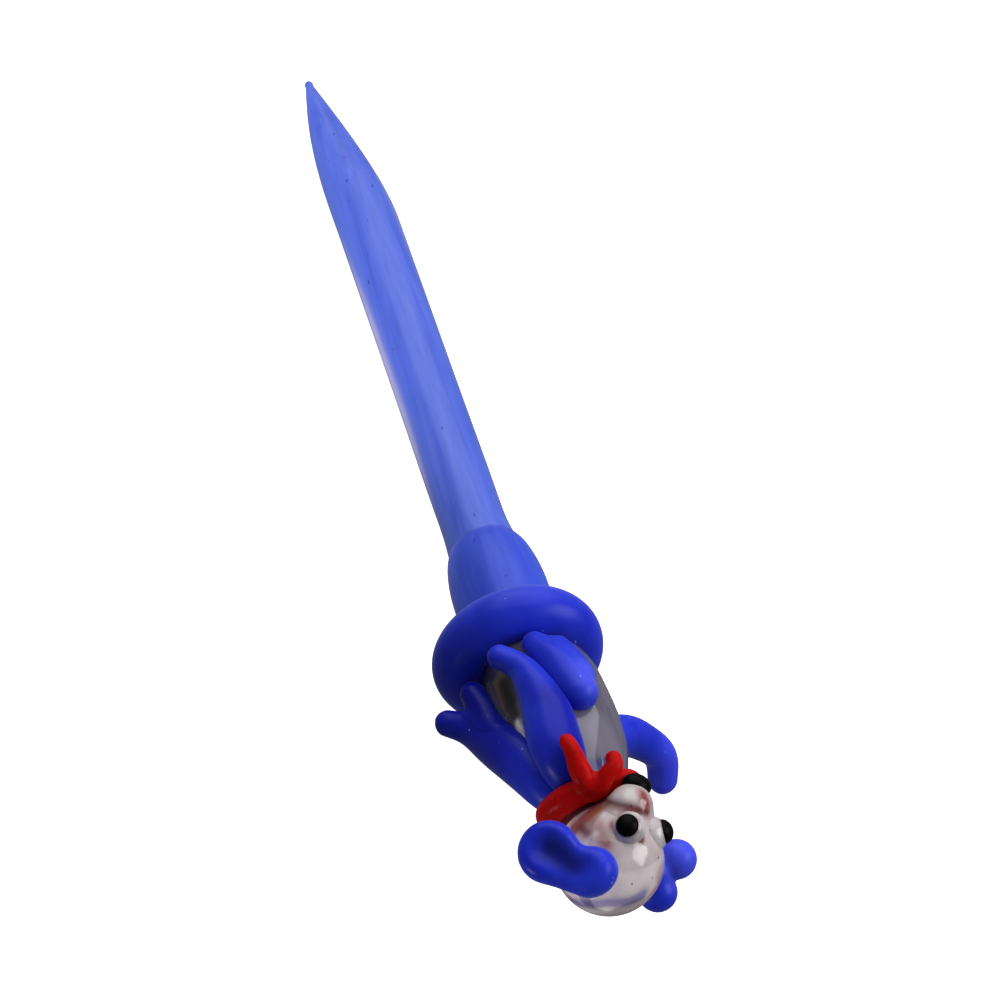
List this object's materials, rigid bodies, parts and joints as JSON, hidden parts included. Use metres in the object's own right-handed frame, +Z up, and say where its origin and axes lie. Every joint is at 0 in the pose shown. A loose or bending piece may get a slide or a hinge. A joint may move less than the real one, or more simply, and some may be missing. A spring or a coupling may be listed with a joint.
{
  "type": "glass dip pen",
  "caption": "Lamp-worked glass dip pen: drawn blue point and shaft, knop and collar ring, with a small scarfed animal figure of clear and blue glass at the end.",
  "frame": {"origin": "on the table under the centre of the pen's bounds, with the pen lying at rest", "axes": "+X along the pen from the writing point to the figure's head, +Y towards the hand that props the pen, +Z up from the table"},
  "size_m": [0.1524, 0.0284, 0.0231],
  "materials": {
    "blue_glass": "opaque cobalt glass, fire-polished",
    "clear_glass": "clear fire-polished glass",
    "red_glass": "opaque red glass, fire-polished",
    "black_glass": "opaque black glass, fire-polished"
  },
  "bodies": {
    "root": {"shaft_rod": "blue_glass", "drawn_point": "blue_glass", "point_bead": "blue_glass", "shoulder_knop": "blue_glass", "collar_ring": "blue_glass", "ear_left": "blue_glass", "ear_right": "blue_glass", "left_arm": "blue_glass", "right_arm": "blue_glass", "left_leg": "blue_glass", "left_leg_toe": "blue_glass", "right_leg": "blue_glass", "right_leg_toe": "blue_glass", "torso": "clear_glass", "head": "clear_glass", "snout": "clear_glass", "eye_left": "clear_glass", "eye_right": "clear_glass", "scarf_band": "red_glass", "scarf_tail_left": "red_glass", "scarf_tail_right": "red_glass", "nose": "black_glass", "pupil_left": "black_glass", "pupil_right": "black_glass"}
  },
  "joints": []
}
